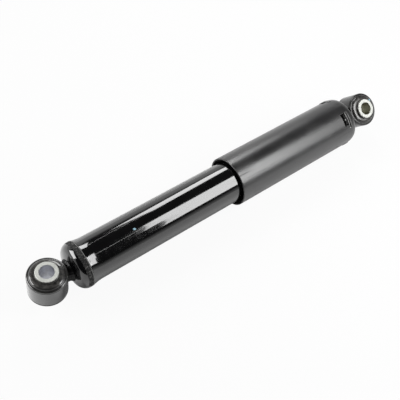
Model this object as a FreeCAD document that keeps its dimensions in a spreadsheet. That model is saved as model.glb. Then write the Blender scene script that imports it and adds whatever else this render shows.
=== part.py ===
import FreeCAD, Part
import os
import re
import Sketcher

# Twin-tube gas shock absorber with a rubber-bushed eye at each end, at full extension.
# The origin is the centre of the lower eye, +X runs along the shock to the upper eye,
# and +Z runs along the lower eye's bore. Lengths are in millimetres, angles in degrees.

os.makedirs("parts", exist_ok=True)
doc = FreeCAD.newDocument("ShockAbsorber")

# Driving dimensions
SIZES = {
    # whole shock
    "eye_spacing": 468.0,
    "upper_eye_twist": 37.0,
    # clearances
    "press_gap": 0.02,
    "running_gap": 0.05,
    "plate_gap": 0.05,
    "stop_gap": 0.3,
    # eyes
    "eye_ring_outside": 42.6,
    "eye_ring_wall": 4.0,
    "eye_ring_length": 24.0,
    "eye_ring_chamfer": 0.8,
    "sleeve_outside": 24.5,
    "sleeve_bore": 16.2,
    "sleeve_length": 41.2,
    "sleeve_edge": 0.7,
    "sleeve_chamfer": 0.4,
    "bush_lip_gap": 0.25,
    "bush_rim_height": 2.25,
    "bush_rim_width": 2.4,
    "bush_rim_chamfer": 0.6,
    "bush_rim_round": 1.0,
    "bush_step_height": 1.4,
    "bush_step_width": 0.7,
    "bush_crown_height": 1.35,
    "bush_crown_width": 4.7,
    "bush_collar_height": 2.65,
    "bush_collar_wall": 0.7,
    # weld collars
    "weld_outside": 21.0,
    "weld_inside": 12.0,
    "weld_root": 1.0,
    "weld_land": 0.4,
    "weld_flare": 2.5,
    "weld_gap": 0.1,
    "upper_weld_length": 7.0,
    "upper_weld_wall": 1.6,
    # base cap
    "eye_to_cap": 3.0,
    "base_rim_outside": 53.6,
    "base_rim_length": 3.2,
    "base_wall": 3.0,
    "base_knuckle": 10.0,
    "base_crown": 60.0,
    "base_crown_flat": 8.0,
    "base_floor": 5.4,
    "base_floor_outside": 34.0,
    "seam_chamfer": 0.35,
    # reserve tube
    "tube_outside": 50.0,
    "tube_wall": 2.0,
    "tube_length": 239.6,
    "flare_length": 14.0,
    "crimp_round": 4.0,
    "crimp_mouth": 30.0,
    # pressure tube
    "pressure_bore": 32.0,
    "pressure_wall": 1.5,
    # base valve
    "foot_outside": 31.0,
    "foot_wall": 2.2,
    "foot_height": 12.0,
    "foot_notches": 6,
    "foot_notch_height": 6.0,
    "foot_notch_angle": 24.0,
    "valve_disc": 6.0,
    "valve_spigot": 4.0,
    "intake_ports": 6,
    "intake_port": 2.8,
    "intake_port_circle": 22.6,
    "bleed_ports": 4,
    "bleed_port": 2.0,
    "bleed_port_circle": 13.0,
    "pin_diameter": 6.0,
    "pin_head": 10.5,
    "pin_head_height": 3.0,
    "pin_tail": 1.2,
    "pin_nut_flats": 10.0,
    "pin_nut_height": 4.0,
    "shim_count": 3,
    "shim_thickness": 0.4,
    "shim_step": 2.0,
    "valve_shim_outside": 18.0,
    # check plates and their finger springs
    "plate_thickness": 1.0,
    "plate_inside": 17.4,
    "plate_outside": 28.4,
    "spring_height": 2.2,
    "spring_thickness": 0.4,
    "spring_land": 2.0,
    "spring_outside": 25.0,
    "spring_fingers": 5,
    "spring_slot_angle": 34.0,
    # rod guide and seal
    "guide_flange": 8.0,
    "guide_spigot": 8.0,
    "guide_drains": 4,
    "guide_drain": 2.5,
    "guide_drain_circle": 40.5,
    "guide_recess": 24.0,
    "guide_recess_depth": 3.2,
    "guide_bush_wall": 1.0,
    "seal_height": 9.0,
    "seal_lip": 19.0,
    "seal_lip_length": 2.8,
    "dust_lip": 17.4,
    "dust_lip_length": 4.5,
    "seal_spring_wire": 1.4,
    "seal_washer_thickness": 3.0,
    "seal_washer_hole": 20.0,
    # rod and piston
    "rod_diameter": 14.0,
    "rod_end_diameter": 10.0,
    "rod_tail": 2.0,
    "rod_chamfer": 0.8,
    "piston_length": 16.0,
    "piston_play": 0.25,
    "band_width": 9.0,
    "band_thickness": 1.6,
    "band_split_angle": 4.0,
    "check_ports": 6,
    "check_port": 2.6,
    "check_port_circle": 22.6,
    "rebound_ports": 4,
    "rebound_port": 2.2,
    "rebound_port_circle": 14.4,
    "rebound_shim_outside": 20.0,
    "clamp_thickness": 2.5,
    "clamp_outside": 15.0,
    "piston_nut_flats": 17.0,
    "piston_nut_height": 7.0,
    "support_thickness": 2.0,
    "support_outside": 24.0,
    "stop_to_shoulder": 5.0,
    "stop_height": 5.0,
    "stop_outside": 23.0,
    "stop_groove": 0.8,
    "buffer_height": 6.0,
    "buffer_outside": 24.0,
    "buffer_chamfer": 1.0,
    # dust cover and its plate
    "cover_outside": 61.0,
    "cover_wall": 1.9,
    "cover_length": 191.3,
    "cover_to_eye": 11.2,
    "cover_mouth": 52.0,
    "cover_round": 0.6,
    "cover_crown_length": 7.9,
    "cover_crown_drop": 1.7,
    "cover_twist": 33.0,
    "lip_chamfer": 0.6,
    "window_count": 4,
    "window_angle": 32.0,
    "window_height": 6.7,
    "window_rise": 0.5,
    "window_lip_height": 4.38,
    "window_lip_proud": 0.6,
    "cover_plate_to_eye": 26.5,
    "cover_plate_thickness": 2.5,
    "cover_plate_play": 0.6,
    "cover_plate_dish": 3.0,
    "cover_plate_crown": 30.0,
    "cover_plate_flat": 42.0,
    "cover_plate_hub_wall": 2.5,
    "cover_plate_hub_height": 4.0,
    "tab_angle": 26.0,
    "tab_below_skin": 0.5,
}

# Places worked out from the driving dimensions. A name that ends in _r is a radius.
PLACES = {
    # eyes, measured from the eye's centre
    "ring_r": "eye_ring_outside / 2",
    "ring_in_r": "ring_r - eye_ring_wall",
    "ring_half": "eye_ring_length / 2",
    "bush_r": "ring_in_r - press_gap",
    "bush_in_r": "sleeve_outside / 2 + running_gap",
    "bush_lip": "ring_half + bush_lip_gap",
    "bush_rim": "bush_lip + bush_rim_height",
    "bush_foot_r": "ring_r - bush_rim_width",
    "bush_shoulder": "bush_rim + bush_step_height",
    "bush_shoulder_r": "bush_foot_r - bush_step_width",
    "bush_face": "bush_shoulder + bush_crown_height",
    "bush_face_r": "bush_shoulder_r - bush_crown_width",
    "bush_crown": "(bush_crown_width ^ 2 + bush_crown_height ^ 2) / (2 * bush_crown_height)",
    "bush_collar": "bush_face + bush_collar_height",
    "bush_collar_r": "bush_in_r + bush_collar_wall",
    "sleeve_half": "sleeve_length / 2",
    "weld_r": "weld_outside / 2",
    "weld_start": "sqrt(ring_r ^ 2 - weld_r ^ 2) - weld_root",
    # base cap: knuckle and crown arcs share a tangent
    "rim_r": "base_rim_outside / 2",
    "knuckle_r": "rim_r - base_knuckle",
    "crown_reach": "base_crown - base_knuckle",
    "dome_depth": "base_crown - sqrt(crown_reach ^ 2 - knuckle_r ^ 2)",
    "tangent_outer": "base_crown / crown_reach",
    "crown_flat_r": "base_crown_flat / 2",
    "crown_flat_at": "base_crown - sqrt(base_crown ^ 2 - crown_flat_r ^ 2)",
    "base_rim_end": "dome_depth + base_rim_length",
    "crown_x": "ring_r + eye_to_cap",
    "weld_land_end": "ring_r + weld_land",
    "weld_flare_r": "weld_r + weld_flare",
    "weld_end": "crown_x + base_crown - sqrt(base_crown ^ 2 - weld_flare_r ^ 2) - weld_gap",
    "weld_in_r": "weld_inside / 2",
    "weld_in_end": "crown_x + base_crown - sqrt(base_crown ^ 2 - weld_in_r ^ 2) - weld_gap",
    # reserve tube
    "tube_r": "tube_outside / 2",
    "tube_in_r": "tube_r - tube_wall",
    "tube_seat": "crown_x + base_rim_end",
    "flare_rise": "rim_r - tube_r",
    "flare_arc": "(flare_length ^ 2 + flare_rise ^ 2) / (2 * flare_rise)",
    "tube_top": "tube_seat + tube_length",
    # guide and seal, stacked down from the rolled top of the tube
    "washer_seat": "tube_top - tube_wall - seal_washer_thickness",
    "seal_seat": "washer_seat - seal_height",
    "guide_seat": "seal_seat - guide_flange",
    "guide_under": "guide_seat - guide_spigot",
    "guide_r": "tube_in_r - press_gap",
    "guide_bore_r": "rod_r + running_gap + guide_bush_wall + press_gap",
    "seal_in_r": "rod_r + running_gap",
    "seal_spring_r": "seal_lip / 2 + seal_spring_wire / 2 + press_gap",
    # base valve, stacked up from the cap's inner face
    "foot_r": "foot_outside / 2",
    "foot_in_r": "foot_r - foot_wall",
    "foot_end": "crown_x + base_floor",
    "valve_seat": "foot_end + foot_height",
    "valve_top": "valve_disc + valve_spigot",
    "pressure_seat": "valve_seat + valve_disc",
    "pressure_r": "pressure_bore / 2",
    "pressure_out_r": "pressure_r + pressure_wall",
    "pressure_length": "guide_seat - pressure_seat",
    "pin_r": "pin_diameter / 2",
    "pin_hole_r": "pin_r + press_gap",
    "intake_seat": "valve_seat + valve_top + plate_gap",
    "intake_spring_seat": "intake_seat + plate_thickness + plate_gap",
    "pin_head_seat": "intake_spring_seat + spring_height",
    "shim_stack": "shim_count * shim_thickness",
    "pin_nut_seat": "valve_seat - shim_stack - pin_nut_height",
    "pin_end": "pin_nut_seat - pin_tail",
    "pin_shank": "pin_head_seat - pin_end",
    # piston and its valves, stacked down from the rod guide
    "rod_r": "rod_diameter / 2",
    "rod_end_r": "rod_end_diameter / 2",
    "rod_hole_r": "rod_end_r + press_gap",
    "buffer_seat": "guide_under - stop_gap - buffer_height",
    "stop_seat": "buffer_seat - stop_height",
    "rod_shoulder": "stop_seat - stop_to_shoulder",
    "support_seat": "rod_shoulder - support_thickness",
    "check_spring_seat": "support_seat - spring_height",
    "check_seat": "check_spring_seat - plate_gap - plate_thickness",
    "piston_seat": "check_seat - plate_gap - piston_length",
    "piston_r": "pressure_r - piston_play",
    "band_start": "(piston_length - band_width) / 2",
    "band_end": "band_start + band_width",
    "band_r": "pressure_r - running_gap",
    "band_in_r": "band_r - band_thickness",
    "groove_r": "band_in_r - running_gap",
    "clamp_seat": "piston_seat - shim_stack - clamp_thickness",
    "piston_nut_seat": "clamp_seat - piston_nut_height",
    "rod_end": "piston_nut_seat - rod_tail",
    "rod_top": "eye_spacing - ring_r - press_gap",
    "rod_length": "rod_top - rod_end",
    "shoulder_at": "rod_shoulder - rod_end",
    "stop_at": "stop_seat - rod_end",
    # cover plate and dust cover, measured back from the upper eye
    "cover_plate_seat": "eye_spacing - ring_r - cover_plate_to_eye",
    "cover_plate_r": "cover_in_r - cover_plate_play",
    "cover_plate_hole_r": "rod_r + press_gap",
    "cover_plate_hub_r": "cover_plate_hole_r + cover_plate_hub_wall",
    "cover_plate_crown_top": "cover_plate_dish + cover_plate_thickness",
    "cover_r": "cover_outside / 2",
    "cover_in_r": "cover_r - cover_wall",
    "cover_end_r": "cover_r - cover_crown_drop",
    "cover_crown": "(cover_crown_length ^ 2 + cover_crown_drop ^ 2) / (2 * cover_crown_drop)",
    "cover_end": "eye_spacing - ring_r - cover_to_eye",
    "cover_seat": "cover_end - cover_length",
    "cover_shoulder": "cover_plate_seat + cover_plate_thickness + press_gap - cover_seat",
    "window_top": "cover_shoulder + window_rise",
    "window_low": "window_top - window_height",
    "tab_r": "cover_r - tab_below_skin",
}

ALIAS = re.compile(r"[a-z][a-z_]*")


def bound(text, inside_places=False):
    """The expression with each name pointing at its sheet."""
    def point(match):
        name = match.group()
        if name in SIZES:
            return "Sizes." + name
        if name in PLACES and not inside_places:
            return "Places." + name
        return name
    return ALIAS.sub(point, text)


def make_sheet(name, cells):
    sheet = doc.addObject("Spreadsheet::Sheet", name)
    for row, (alias, content) in enumerate(cells.items(), start=1):
        sheet.set(f"A{row}", alias)
        sheet.set(f"B{row}", str(content))
        sheet.setAlias(f"B{row}", alias)
    return sheet


sizes = make_sheet("Sizes", SIZES)
places = make_sheet("Places", {alias: "=" + bound(rule, True) for alias, rule in PLACES.items()})
doc.recompute()

SUBPARTS = []
AXIS_OF_SKETCH = {"X": "H_Axis", "Z": "V_Axis"}
MATCH = 1e-4


def value(text):
    return float(places.evalExpression(bound(text)))


def bind(thing, path, text):
    thing.setExpression(path, bound(text))


def origin_feature(body, role):
    for feature in body.Origin.OriginFeatures:
        if feature.Role == role:
            return feature
    raise LookupError(role)


def new_body(label, seat="0", twist="0"):
    """An empty piece whose own origin sits at seat on the shock's axis, turned about that axis by twist."""
    body = doc.addObject("PartDesign::Body", label)
    body.Label = label
    body.Placement = FreeCAD.Placement(
        FreeCAD.Vector(value(seat), 0, 0), FreeCAD.Rotation(FreeCAD.Vector(1, 0, 0), value(twist)))
    bind(body, "Placement.Base.x", seat)
    if twist != "0":
        bind(body, "Placement.Rotation.Angle", f"{twist} * 1 deg")
    SUBPARTS.append(body)
    return body


def new_sketch(body, name, plane):
    sketch = body.newObject("Sketcher::SketchObject", f"{body.Label}_{name}")
    sketch.AttachmentSupport = [(origin_feature(body, plane), "")]
    sketch.MapMode = "FlatFace"
    return sketch


def fix_point(sketch, edge, end, across, up):
    """Bind one end of a sketch edge to the two expressions that place it."""
    for kind, text in (("DistanceX", across), ("DistanceY", up)):
        number = sketch.addConstraint(Sketcher.Constraint(kind, -1, 1, edge, end, value(text)))
        bind(sketch, f"Constraints[{number}]", text)


def draw_outline(sketch, corners):
    """A closed outline. A corner is (across, up), or (across, up, arc radius, side) where the edge
    to the next corner is an arc that bulges to the left (1) or the right (-1) of the way it runs."""
    points = [FreeCAD.Vector(value(corner[0]), value(corner[1]), 0) for corner in corners]
    ends = []
    for number, corner in enumerate(corners):
        start = points[number]
        stop = points[(number + 1) % len(points)]
        if len(corner) == 2:
            edge = sketch.addGeometry(Part.LineSegment(start, stop), False)
        else:
            radius = value(corner[2])
            chord = stop - start
            bulge = radius - (radius ** 2 - chord.Length ** 2 / 4) ** 0.5
            left = FreeCAD.Vector(-chord.y, chord.x, 0).normalize()
            middle = (start + stop) * 0.5 + left * (bulge * corner[3])
            edge = sketch.addGeometry(Part.Arc(start, middle, stop), False)
        first = 1 if sketch.getPoint(edge, 1).isEqual(start, MATCH) else 2
        ends.append((edge, first, 3 - first))
    for number, (edge, first, last) in enumerate(ends):
        after = ends[(number + 1) % len(ends)]
        sketch.addConstraint(Sketcher.Constraint("Coincident", edge, last, after[0], after[1]))
    for corner, (edge, first, last) in zip(corners, ends):
        fix_point(sketch, edge, first, corner[0], corner[1])
        if len(corner) == 4:
            number = sketch.addConstraint(Sketcher.Constraint("Radius", edge, value(corner[2])))
            bind(sketch, f"Constraints[{number}]", corner[2])


def turn(body, name, corners, axis="X", angle=None, cut=False):
    """Revolve an outline of (along, radius) corners about the piece's axis: all the way round,
    or through an angle centred on +Z. A cut takes the shape away."""
    sketch = new_sketch(body, name, "XZ_Plane")
    if axis == "Z":
        corners = [(corner[1], corner[0]) + tuple(corner[2:]) for corner in corners]
    draw_outline(sketch, corners)
    kind = "PartDesign::Groove" if cut else "PartDesign::Revolution"
    feature = body.newObject(kind, f"{body.Label}_{name}_turn")
    feature.Profile = (sketch, [""])
    feature.ReferenceAxis = (sketch, [AXIS_OF_SKETCH[axis]])
    if angle is None:
        feature.Angle = 360
    else:
        feature.Midplane = True
        bind(feature, "Angle", angle)
    doc.recompute()
    return feature


def repeat_round(body, name, features, count):
    pattern = body.newObject("PartDesign::PolarPattern", f"{body.Label}_{name}")
    pattern.Originals = features
    pattern.Axis = (origin_feature(body, "X_Axis"), [""])
    pattern.Angle = 360
    bind(pattern, "Occurrences", count)
    body.Tip = pattern
    doc.recompute()
    return pattern


def drill(body, name, count, circle, diameter):
    """A ring of round holes right through the piece, along its axis."""
    sketch = new_sketch(body, name, "YZ_Plane")
    centre = FreeCAD.Vector(0, value(circle) / 2, 0)
    up = FreeCAD.Vector(0, 0, 1)
    hole = sketch.addGeometry(Part.Circle(centre, up, value(diameter) / 2), False)
    fix_point(sketch, hole, 3, "0", f"{circle} / 2")
    number = sketch.addConstraint(Sketcher.Constraint("Radius", hole, value(diameter) / 2))
    bind(sketch, f"Constraints[{number}]", f"{diameter} / 2")
    pocket = body.newObject("PartDesign::Pocket", f"{body.Label}_{name}_drill")
    pocket.Profile = (sketch, [""])
    pocket.Type = "ThroughAll"
    pocket.Midplane = True
    doc.recompute()
    return repeat_round(body, f"{name}_ring", [pocket], count)


def soften(body, kind, size, circles, axis="X"):
    """Fillet or chamfer the round edges given as (along, radius)."""
    base = body.Tip
    wanted = [(value(along), value(radius)) for along, radius in circles]
    names = []
    for number, edge in enumerate(base.Shape.Edges, start=1):
        if edge.Degenerated or not isinstance(edge.Curve, Part.Circle):
            continue
        centre = edge.Curve.Center
        along = centre.x if axis == "X" else centre.z
        off_axis = centre.y ** 2 + (centre.z if axis == "X" else centre.x) ** 2
        for spot, radius in wanted:
            near = abs(along - spot) < MATCH and abs(edge.Curve.Radius - radius) < MATCH
            if near and off_axis < MATCH:
                names.append(f"Edge{number}")
    if not names:
        raise LookupError(f"no edge to soften on {body.Label}")
    feature = body.newObject(f"PartDesign::{kind}", f"{body.Label}_{kind.lower()}")
    feature.Base = (base, names)
    bind(feature, "Radius" if kind == "Fillet" else "Size", size)
    doc.recompute()
    return feature


def ring(label, seat, length, inner, outer):
    """A plain ring on the shock's axis: bush, washer, tube or buffer."""
    body = new_body(label, seat)
    turn(body, "section", [("0", inner), ("0", outer), (length, outer), (length, inner)])
    return body


def hex_nut(label, seat, height, flats, hole):
    body = new_body(label, seat)
    sketch = new_sketch(body, "hexagon", "YZ_Plane")
    draw_outline(sketch, [
        (f"{flats} / sqrt(3) * cos({60 * side} deg)", f"{flats} / sqrt(3) * sin({60 * side} deg)")
        for side in range(6)])
    pad = body.newObject("PartDesign::Pad", f"{label}_pad")
    pad.Profile = (sketch, [""])
    bind(pad, "Length", height)
    doc.recompute()
    turn(body, "thread", [("0", "0"), ("0", hole), (height, hole), (height, "0")], cut=True)
    return body


def finger_spring(label, seat, inner):
    """A flat ring with fingers bent down to press on a check plate."""
    body = new_body(label, seat)
    land = f"{inner} + spring_land"
    turn(body, "section", [
        ("spring_height", inner),
        ("spring_height", land),
        ("spring_thickness", "spring_outside / 2"),
        ("0", "spring_outside / 2"),
        ("spring_height - spring_thickness", land),
        ("spring_height - spring_thickness", inner)])
    slot = turn(body, "slot", [
        ("-spring_height", f"{land} + spring_thickness"),
        ("2 * spring_height", f"{land} + spring_thickness"),
        ("2 * spring_height", "spring_outside"),
        ("-spring_height", "spring_outside")], angle="spring_slot_angle", cut=True)
    repeat_round(body, "fingers", [slot], "spring_fingers")


def shim_stack(label, seat, outside, hole):
    """Thin discs in one stack, each smaller than the one above it."""
    for number in range(int(value("shim_count"))):
        ring(f"{label}_{number + 1}", f"{seat} - {number + 1} * shim_thickness", "shim_thickness",
             hole, f"{outside} / 2 - {number} * shim_step / 2")


def eye(prefix, centre, twist):
    """Steel ring, moulded rubber bush and inner sleeve, on the eye's own Z axis."""
    steel = new_body(f"{prefix}_eye_ring", centre, twist)
    turn(steel, "section", [
        ("-ring_half", "ring_in_r"),
        ("ring_half", "ring_in_r"),
        ("ring_half", "ring_r"),
        ("-ring_half", "ring_r")], axis="Z")
    edges = [("ring_half", "ring_r"), ("-ring_half", "ring_r")]
    soften(steel, "Chamfer", "eye_ring_chamfer", edges, axis="Z")

    rubber = new_body(f"{prefix}_eye_bush", centre, twist)
    turn(rubber, "section", [
        ("-bush_collar", "bush_in_r"),
        ("bush_collar", "bush_in_r"),
        ("bush_collar", "bush_collar_r"),
        ("bush_face", "bush_collar_r"),
        ("bush_face", "bush_face_r", "bush_crown", 1),
        ("bush_shoulder", "bush_shoulder_r"),
        ("bush_rim", "bush_foot_r"),
        ("bush_rim", "ring_r"),
        ("bush_lip", "ring_r"),
        ("bush_lip", "bush_r"),
        ("-bush_lip", "bush_r"),
        ("-bush_lip", "ring_r"),
        ("-bush_rim", "ring_r"),
        ("-bush_rim", "bush_foot_r"),
        ("-bush_shoulder", "bush_shoulder_r", "bush_crown", 1),
        ("-bush_face", "bush_face_r"),
        ("-bush_face", "bush_collar_r"),
        ("-bush_collar", "bush_collar_r")], axis="Z")
    soften(rubber, "Chamfer", "bush_rim_chamfer", [("bush_lip", "ring_r"), ("-bush_lip", "ring_r")], axis="Z")
    soften(rubber, "Fillet", "bush_rim_round", [("bush_rim", "ring_r"), ("-bush_rim", "ring_r")], axis="Z")

    sleeve = new_body(f"{prefix}_eye_sleeve", centre, twist)
    turn(sleeve, "section", [
        ("-sleeve_half", "sleeve_bore / 2"),
        ("sleeve_half", "sleeve_bore / 2"),
        ("sleeve_half", "sleeve_outside / 2"),
        ("-sleeve_half", "sleeve_outside / 2")], axis="Z")
    ends = ("sleeve_half", "-sleeve_half")
    soften(sleeve, "Chamfer", "sleeve_edge", [(end, "sleeve_outside / 2") for end in ends], axis="Z")
    soften(sleeve, "Chamfer", "sleeve_chamfer", [(end, "sleeve_bore / 2") for end in ends], axis="Z")


def saddle(body):
    """Cut the end of a weld collar to the outside of the eye ring."""
    reach = "ring_r + press_gap"
    turn(body, "saddle", [
        ("-eye_ring_length", "0"),
        ("eye_ring_length", "0"),
        ("eye_ring_length", reach),
        ("-eye_ring_length", reach)], axis="Z", cut=True)


# Lower eye and the weld that joins it to the base cap
eye("lower", "0", "0")
lower_weld = new_body("lower_eye_weld")
turn(lower_weld, "section", [
    ("weld_start", "weld_in_r"),
    ("weld_start", "weld_r"),
    ("weld_land_end", "weld_r"),
    ("weld_end", "weld_flare_r"),
    ("weld_in_end", "weld_in_r")])
saddle(lower_weld)

# Base cap: a dished pressing with a short straight rim
base_cap = new_body("base_cap", "crown_x")
turn(base_cap, "section", [
    ("crown_flat_at", "0"),
    ("crown_flat_at", "crown_flat_r", "base_crown", 1),
    ("base_crown + (dome_depth - base_crown) * tangent_outer", "knuckle_r * tangent_outer",
     "base_knuckle", 1),
    ("dome_depth", "rim_r"),
    ("base_rim_end", "rim_r"),
    ("base_rim_end", "rim_r - base_wall"),
    ("dome_depth", "rim_r - base_wall"),
    ("base_floor", "base_floor_outside / 2"),
    ("base_floor", "0")])
soften(base_cap, "Chamfer", "seam_chamfer", [("base_rim_end", "rim_r")])

# Reserve tube: flared to meet the cap, rolled inwards over the seal washer at the top
reserve_tube = new_body("reserve_tube", "tube_seat")
turn(reserve_tube, "section", [
    ("0", "rim_r", "flare_arc", -1),
    ("flare_length", "tube_r"),
    ("tube_length - crimp_round", "tube_r", "crimp_round", 1),
    ("tube_length", "tube_r - crimp_round"),
    ("tube_length", "crimp_mouth / 2"),
    ("tube_length - tube_wall", "crimp_mouth / 2"),
    ("tube_length - tube_wall", "tube_r - crimp_round"),
    ("tube_length - crimp_round", "tube_in_r"),
    ("flare_length", "tube_in_r"),
    ("0", "rim_r - tube_wall")])
soften(reserve_tube, "Chamfer", "seam_chamfer", [("0", "rim_r")])

# Base valve: ported body on a notched foot ring, shims and nut below, check plate above
valve_body = new_body("base_valve_body", "valve_seat")
turn(valve_body, "section", [
    ("0", "pin_hole_r"),
    ("0", "foot_in_r"),
    ("-foot_height", "foot_in_r"),
    ("-foot_height", "foot_r"),
    ("0", "foot_r"),
    ("0", "pressure_out_r"),
    ("valve_disc", "pressure_out_r"),
    ("valve_disc", "pressure_r - press_gap"),
    ("valve_top", "pressure_r - press_gap"),
    ("valve_top", "pin_hole_r")])
notch = turn(valve_body, "notch", [
    ("-2 * foot_height", "foot_in_r - foot_wall"),
    ("foot_notch_height - foot_height", "foot_in_r - foot_wall"),
    ("foot_notch_height - foot_height", "foot_r + foot_wall"),
    ("-2 * foot_height", "foot_r + foot_wall")], angle="foot_notch_angle", cut=True)
repeat_round(valve_body, "notches", [notch], "foot_notches")
drill(valve_body, "intake", "intake_ports", "intake_port_circle", "intake_port")
drill(valve_body, "bleed", "bleed_ports", "bleed_port_circle", "bleed_port")
shim_stack("base_valve_shim", "valve_seat", "valve_shim_outside", "pin_hole_r")
hex_nut("base_valve_nut", "pin_nut_seat", "pin_nut_height", "pin_nut_flats", "pin_hole_r")
valve_pin = new_body("base_valve_pin", "pin_end")
turn(valve_pin, "section", [
    ("0", "0"),
    ("0", "pin_r"),
    ("pin_shank", "pin_r"),
    ("pin_shank", "pin_head / 2"),
    ("pin_shank + pin_head_height", "pin_head / 2"),
    ("pin_shank + pin_head_height", "0")])
ring("intake_plate", "intake_seat", "plate_thickness", "plate_inside / 2", "plate_outside / 2")
finger_spring("intake_spring", "intake_spring_seat", "pin_hole_r")

# Pressure tube between the base valve and the rod guide
ring("pressure_tube", "pressure_seat", "pressure_length", "pressure_r", "pressure_out_r")

# Rod guide, its lined bush, the seal with its garter spring, and the washer the tube is rolled over
rod_guide = new_body("rod_guide", "guide_seat")
turn(rod_guide, "section", [
    ("-guide_spigot", "guide_bore_r"),
    ("-guide_spigot", "pressure_r - press_gap"),
    ("0", "pressure_r - press_gap"),
    ("0", "guide_r"),
    ("guide_flange", "guide_r"),
    ("guide_flange", "guide_recess / 2"),
    ("guide_flange - guide_recess_depth", "guide_recess / 2"),
    ("guide_flange - guide_recess_depth", "guide_bore_r")])
drill(rod_guide, "drain", "guide_drains", "guide_drain_circle", "guide_drain")
ring("guide_bush", "guide_under", "guide_spigot + guide_flange - guide_recess_depth",
     "rod_r + running_gap", "guide_bore_r - press_gap")
rod_seal = new_body("rod_seal", "seal_seat")
turn(rod_seal, "section", [
    ("-seal_lip_length", "seal_in_r"),
    ("-seal_lip_length", "seal_lip / 2"),
    ("0", "seal_lip / 2"),
    ("0", "guide_r"),
    ("seal_height", "guide_r"),
    ("seal_height", "dust_lip / 2"),
    ("seal_height + dust_lip_length", "dust_lip / 2"),
    ("seal_height + dust_lip_length", "seal_in_r")])
seal_washer = ring("seal_washer", "washer_seat", "seal_washer_thickness", "seal_washer_hole / 2", "guide_r")
soften(seal_washer, "Chamfer", "crimp_round - tube_wall", [("seal_washer_thickness", "guide_r")])
seal_spring = new_body("seal_spring", "seal_seat - seal_lip_length / 2")
wire_r = "seal_spring_wire / 2"
turn(seal_spring, "section", [
    (f"{wire_r} * cos({45 * side} deg)", f"seal_spring_r + {wire_r} * sin({45 * side} deg)")
    for side in range(8)])

# Piston rod with its reduced end and the groove for the rebound stop
piston_rod = new_body("piston_rod", "rod_end")
turn(piston_rod, "section", [
    ("0", "0"),
    ("0", "rod_end_r"),
    ("shoulder_at", "rod_end_r"),
    ("shoulder_at", "rod_r"),
    ("stop_at", "rod_r"),
    ("stop_at", "rod_r - stop_groove"),
    ("stop_at + stop_height", "rod_r - stop_groove"),
    ("stop_at + stop_height", "rod_r"),
    ("rod_length", "rod_r"),
    ("rod_length", "0")])
soften(piston_rod, "Chamfer", "rod_chamfer", [("0", "rod_end_r")])
rebound_stop = ring("rebound_stop", "stop_seat", "stop_height",
                    "rod_r - stop_groove + press_gap", "stop_outside / 2")
rebound_buffer = ring("rebound_buffer", "buffer_seat", "buffer_height",
                      "rod_r + running_gap", "buffer_outside / 2")
soften(rebound_buffer, "Chamfer", "buffer_chamfer",
       [("0", "buffer_outside / 2"), ("buffer_height", "buffer_outside / 2")])

# Piston with its band, check valve above and rebound valve below
piston = new_body("piston", "piston_seat")
turn(piston, "section", [
    ("0", "rod_hole_r"),
    ("0", "piston_r"),
    ("band_start - running_gap", "piston_r"),
    ("band_start - running_gap", "groove_r"),
    ("band_end + running_gap", "groove_r"),
    ("band_end + running_gap", "piston_r"),
    ("piston_length", "piston_r"),
    ("piston_length", "rod_hole_r")])
drill(piston, "check", "check_ports", "check_port_circle", "check_port")
drill(piston, "rebound", "rebound_ports", "rebound_port_circle", "rebound_port")
piston_band = ring("piston_band", "piston_seat + band_start", "band_width", "band_in_r", "band_r")
turn(piston_band, "split", [
    ("-band_width", "band_in_r - band_thickness"),
    ("2 * band_width", "band_in_r - band_thickness"),
    ("2 * band_width", "band_r + band_thickness"),
    ("-band_width", "band_r + band_thickness")], angle="band_split_angle", cut=True)
ring("check_plate", "check_seat", "plate_thickness", "plate_inside / 2", "plate_outside / 2")
finger_spring("check_spring", "check_spring_seat", "rod_hole_r")
ring("support_washer", "support_seat", "support_thickness", "rod_hole_r", "support_outside / 2")
shim_stack("rebound_shim", "piston_seat", "rebound_shim_outside", "rod_hole_r")
ring("clamp_washer", "clamp_seat", "clamp_thickness", "rod_hole_r", "clamp_outside / 2")
hex_nut("piston_nut", "piston_nut_seat", "piston_nut_height", "piston_nut_flats", "rod_hole_r")

# Cover plate: a dished pressing on the rod, with tabs that reach into the cover's windows
cover_plate = new_body("cover_plate", "cover_plate_seat", "cover_twist")
turn(cover_plate, "section", [
    ("cover_plate_dish", "cover_plate_hole_r"),
    ("cover_plate_dish", "cover_plate_crown / 2"),
    ("0", "cover_plate_flat / 2"),
    ("0", "cover_plate_r"),
    ("cover_plate_thickness", "cover_plate_r"),
    ("cover_plate_thickness", "cover_plate_flat / 2"),
    ("cover_plate_crown_top", "cover_plate_crown / 2"),
    ("cover_plate_crown_top", "cover_plate_hub_r"),
    ("cover_plate_crown_top + cover_plate_hub_height", "cover_plate_hub_r"),
    ("cover_plate_crown_top + cover_plate_hub_height", "cover_plate_hole_r")])
tab = turn(cover_plate, "tab", [
    ("0", "cover_plate_r - cover_plate_thickness"),
    ("cover_plate_thickness", "cover_plate_r - cover_plate_thickness"),
    ("cover_plate_thickness", "tab_r"),
    ("0", "tab_r")], angle="tab_angle")
repeat_round(cover_plate, "tabs", [tab], "window_count")

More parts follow.
